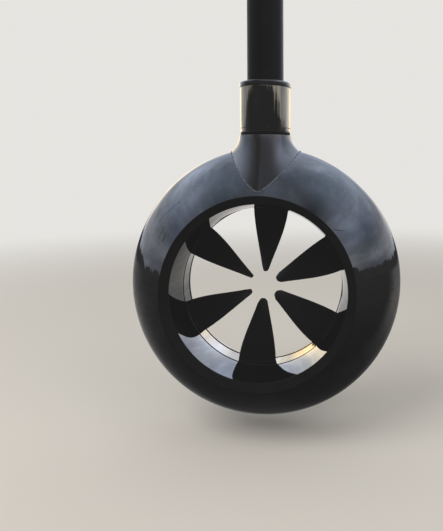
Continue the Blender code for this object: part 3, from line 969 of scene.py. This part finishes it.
BLADE_ROWS = 44
BLADE_COLUMNS = 25
ROOT_CROWDING = 1.4
builder = bmesh.new()
rims = []
for side in (-1, 1):
    grid = []
    for row in range(BLADE_ROWS):
        out = 1 - (1 - row / (BLADE_ROWS - 1)) ** ROOT_CROWDING
        line = []
        for column in range(BLADE_COLUMNS):
            across = 0.5 - 0.5 * math.cos(math.pi * column / (BLADE_COLUMNS - 1))
            line.append(builder.verts.new(blade_point(out, across, side)))
        grid.append(line)
    for row in range(BLADE_ROWS - 1):
        for column in range(BLADE_COLUMNS - 1):
            low = grid[row]
            high = grid[row + 1]
            builder.faces.new((low[column], low[column + 1], high[column + 1], high[column]))
    leading = [line[0] for line in grid]
    trailing = [line[-1] for line in grid]
    rims.append(grid[0] + trailing[1:] + grid[-1][-2::-1] + leading[-2:0:-1])
under, over = rims
for index in range(len(under)):
    after = (index + 1) % len(under)
    builder.faces.new((under[index], under[after], over[after], over[index]))
blade_mesh = bpy.data.meshes.new("one blade")
bmesh.ops.recalc_face_normals(builder, faces=builder.faces[:])
builder.to_mesh(blade_mesh)
builder.free()
print("one blade:", len(blade_mesh.polygons), "faces")

# %% Six blades
repeating, given = new_tree(
    "repeat round the axis",
    {"Shape": "Geometry", "Count": "Int", "Centre": "Vector", "Finish": "Material"},
    "Pieces",
)
points = add_node(repeating, "GeometryNodePoints", {"Count": given["Count"], "Position": given["Centre"]})
number = add_node(repeating, "GeometryNodeInputIndex")
step = add_node(repeating, "ShaderNodeMath", (2 * math.pi, given["Count"]), operation="DIVIDE")
turn = add_node(repeating, "ShaderNodeMath", (number, step), operation="MULTIPLY")
turned_by = add_node(repeating, "ShaderNodeCombineXYZ", {1: turn})
copies = add_node(
    repeating,
    "GeometryNodeInstanceOnPoints",
    {"Points": points, "Instance": given["Shape"], "Rotation": turned_by},
)
end_tree(repeating, copies, given["Finish"])

blade_inputs = {"Count": 6, "Centre": (0.0, BLADE_Y, AXIS_Z), "Finish": blade_plastic}
blades = smoothed(grown("blades", blade_mesh, repeating, blade_inputs), sharp_angle=50)
dress(blades, "rotor", "black_blade", *[f"blade_{number}" for number in range(1, 7)])

# %% [markdown]
# ## Neck and weld
#
# The neck is a casting that spreads from the round collar to a pointed oval on the ring. It is lofted:
# each line runs from a point on the collar's circle to a point of the oval that lies exactly on the ring,
# so the joint needs no cutting. Where it meets the ring it was welded and ground, which leaves a thin
# rippled line.

# %% Neck
COLLAR_R = 0.0346
NECK_RISE = 0.0157
NECK_TOP = AXIS_Z + RING_R + NECK_RISE
SHOULDER_R = COLLAR_R + 0.0013
SHOULDER_DROP = 0.0007
OVAL_HALF_WIDTH = 0.048
OVAL_POWER = 1.45
OVAL_FRONT_MARGIN = 0.004
OVAL_REAR_MARGIN = 0.001
FLARE = 1.15
SIDE_FLARE = 0.70
SINK = 0.001
NECK_COLUMNS = 192
NECK_ROWS = 56


def neck_line(angle):
    """Top point, foot point and flare of the neck's line at an angle round the pole."""
    sine = math.sin(angle)
    cosine = math.cos(angle)
    pointing = 2 / OVAL_POWER
    reach = REAR_LENGTH - OVAL_REAR_MARGIN if cosine > 0 else FRONT_LENGTH - OVAL_FRONT_MARGIN
    x = OVAL_HALF_WIDTH * math.copysign(abs(sine) ** pointing, sine)
    y = RING_AFT + reach * math.copysign(abs(cosine) ** pointing, cosine)
    top = Vector((SHOULDER_R * sine, SHOULDER_R * cosine, NECK_TOP - SHOULDER_DROP))
    foot = Vector((x, y, AXIS_Z + math.sqrt(ring_r(y) ** 2 - x**2)))
    return top, foot, FLARE + SIDE_FLARE * sine**2


builder = bmesh.new()
lines = [neck_line(2 * math.pi * step / NECK_COLUMNS) for step in range(NECK_COLUMNS)]
inset = COLLAR_R / SHOULDER_R
rows = [[builder.verts.new((top.x * inset, top.y * inset, NECK_TOP)) for top, foot, flare in lines]]
for row in range(NECK_ROWS):
    share = row / (NECK_ROWS - 1)
    ring_row = []
    for top, foot, flare in lines:
        height = top.lerp(foot, share).z
        outward = top.lerp(foot, share**flare)
        ring_row.append(builder.verts.new((outward.x, outward.y, height)))
    rows.append(ring_row)
for shrink in (1.0, 0.75, 0.5, 0.25):
    under_row = []
    for top, foot, flare in lines:
        x = foot.x * shrink
        y = RING_AFT + (foot.y - RING_AFT) * shrink
        height = AXIS_Z + math.sqrt((ring_r(y) - SINK) ** 2 - x**2)
        under_row.append(builder.verts.new((x, y, height)))
    rows.append(under_row)
for high, low in zip(rows, rows[1:]):
    for step in range(NECK_COLUMNS):
        after = (step + 1) % NECK_COLUMNS
        builder.faces.new((low[step], low[after], high[after], high[step]))
builder.faces.new(rows[0])
builder.faces.new(rows[-1])
neck_mesh = bpy.data.meshes.new("neck")
builder.to_mesh(neck_mesh)
builder.free()
neck_mesh.materials.append(neck_steel)
neck = bpy.data.objects.new("neck", neck_mesh)
bpy.context.scene.collection.objects.link(neck)
smoothed(neck, sharp_angle=40)
dress(neck, "housing", "polished_steel", "neck_fairing")

# %% [markdown]
# The weld's ripples repeat along the seam, which is a job for a tree: it turns the seam into a curve,
# places points a ripple apart and puts a small flattened bead on each.

# %% Weld
rippling, given = new_tree(
    "ripples along a seam",
    {"Seam": "Geometry", "Spacing": "Float", "Ripple size": "Vector", "Finish": "Material"},
    "Weld",
)
seam = add_node(rippling, "GeometryNodeMeshToCurve", {"Mesh": given["Seam"]})
stops = add_node(
    rippling,
    "GeometryNodeCurveToPoints",
    {"Curve": seam, "Length": given["Spacing"]},
    mode="LENGTH",
    out=None,
).outputs
bead = add_node(rippling, "GeometryNodeMeshUVSphere", {"Segments": 10, "Rings": 6, "Radius": 1.0})
chance = add_node(
    rippling, "FunctionNodeRandomValue", {2: 0.5, 3: 1.5, "Seed": 4}, data_type="FLOAT", out=1
)
sizes = add_node(rippling, "ShaderNodeVectorMath", (given["Ripple size"], chance), operation="MULTIPLY")
beads = add_node(
    rippling,
    "GeometryNodeInstanceOnPoints",
    {"Points": stops["Points"], "Instance": bead, "Rotation": stops["Rotation"], "Scale": sizes},
)
end_tree(rippling, beads, given["Finish"])

seam_points = [foot for top, foot, flare in lines]
seam_edges = [(step, (step + 1) % NECK_COLUMNS) for step in range(NECK_COLUMNS)]
seam_mesh = bpy.data.meshes.new("seam")
seam_mesh.from_pydata(seam_points, seam_edges, [])
weld_steel = polished_steel("ground weld", "Y", 0.40, "#C6CAD2", "#B4B8C0")
weld_steel.node_tree.nodes["Principled BSDF"].inputs["Metallic"].default_value = 0.92
weld_inputs = {"Spacing": 0.0012, "Ripple size": (0.0008, 0.0008, 0.0011), "Finish": weld_steel}
weld = smoothed(grown("neck_weld", seam_mesh, rippling, weld_inputs), sharp_angle=60)
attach(weld, "housing")
print("weld:", len(weld.data.polygons), "faces")

# %% [markdown]
# ## Collar and pole
#
# The collar is a polished sleeve with a rounded bead on top, on a thin rubber seal. The pole is a black
# tube with a flat cap. All are turned about the pole's own axis.

# %% Collar and pole
POLE_R = 0.025
POLE_BORE_R = 0.020
CAP_HEIGHT = 0.008
SEAL_HEIGHT = 0.0026
SLEEVE_HEIGHT = 0.0614
BEAD_HEIGHT = 0.0070
SEAL_R = COLLAR_R - 0.0008
seal_low = NECK_TOP + FIT
seal_high = seal_low + SEAL_HEIGHT
sleeve_low = seal_high + FIT
sleeve_high = sleeve_low + SLEEVE_HEIGHT
bead_low = sleeve_high + FIT
bead_high = bead_low + BEAD_HEIGHT

corners = [
    (POLE_BORE_R, seal_low, 0.0),
    (SEAL_R, seal_low, 0.0006),
    (SEAL_R, seal_high, 0.0006),
    (POLE_BORE_R, seal_high, 0.0),
]
seal = turned("seal", rounded(corners), "Z", rubber)
dress(seal, "housing", "black_rubber", "collar_seal")

# %% Collar sleeve
# The sleeve narrows a little towards its foot, and a fine groove runs round it just above.
FOOT_NARROWING = 0.0007
FOOT_HEIGHT = 0.020
GROOVE_RISE = 0.0056
GROOVE_WIDTH = 0.0009
GROOVE_DEPTH = 0.0004
GROOVE_BOTTOM = GROOVE_RISE + 0.0003


def sleeve_r(rise):
    """Radius of the collar at a rise over its foot."""
    return COLLAR_R - FOOT_NARROWING * max(1 - rise / FOOT_HEIGHT, 0.0) ** 2


above_groove = (GROOVE_RISE + GROOVE_WIDTH, 0.009, 0.012, 0.015, FOOT_HEIGHT)
corners = [(POLE_R + FIT, sleeve_low, 0.0), (sleeve_r(0.0), sleeve_low, 0.0008)]
corners += [(sleeve_r(rise), sleeve_low + rise, 0.0) for rise in (0.003, GROOVE_RISE)]
corners.append((sleeve_r(GROOVE_RISE) - GROOVE_DEPTH, sleeve_low + GROOVE_BOTTOM, 0.0))
corners += [(sleeve_r(rise), sleeve_low + rise, 0.0) for rise in above_groove]
corners += [(COLLAR_R, sleeve_high, 0.0006), (POLE_R + FIT, sleeve_high, 0.0)]
sleeve = turned("collar", rounded(corners), "Z", collar_steel_painted_warm, sharp_angle=20)
dress(sleeve, "housing", "polished_steel", "collar_sleeve")

# %% Collar bead, pole and cap
CAP_PLUG_R = POLE_BORE_R - FIT
CAP_PLUG_LOW = -CAP_HEIGHT - 0.030
pole_high = -CAP_HEIGHT - FIT

corners = [
    (POLE_R + FIT, bead_low, 0.0),
    (COLLAR_R + 0.0004, bead_low, 0.0012),
    (COLLAR_R + 0.0014, bead_high, 0.0030),
    (POLE_R + FIT, bead_high, 0.0),
]
bead = turned("collar_top_bead", rounded(corners, arc_points=8), "Z", neck_steel, sharp_angle=40)
dress(bead, "housing", "polished_steel", "collar_bead")

corners = [
    (POLE_BORE_R, sleeve_low, 0.0),
    (POLE_R, sleeve_low, 0.0),
    (POLE_R, pole_high, 0.0004),
    (POLE_BORE_R, pole_high, 0.0),
]
pole = turned("pole", rounded(corners), "Z", powder_coat)
dress(pole, "housing", "black_paint", "pole_tube")

corners = [
    (0.0, CAP_PLUG_LOW, 0.0),
    (CAP_PLUG_R, CAP_PLUG_LOW, 0.0),
    (CAP_PLUG_R, -CAP_HEIGHT, 0.0),
    (POLE_R, -CAP_HEIGHT, 0.0004),
    (POLE_R, 0.0, 0.0008),
    (0.0, 0.0, 0.0),
]
cap = turned("cap", rounded(corners), "Z", powder_coat)
dress(cap, "housing", "black_paint", "pole_cap")

# %% [markdown]
# ## What stays as it came
#
# The body and the bearings inside the ring show only as darkness in the running gaps, so their CAD solids
# stay, with the resin's finish.

# %% Inner solids
for node in ("stator_core", "front_bearing", "rear_bearing"):
    solid = bpy.data.objects[node]
    for material_slot in solid.material_slots:
        material_slot.material = resin
    print(node, "in", resin.name)

# %% Sizes
low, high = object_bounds()
print("visual box in mm:", [round(1000 * side, 1) for side in high - low])
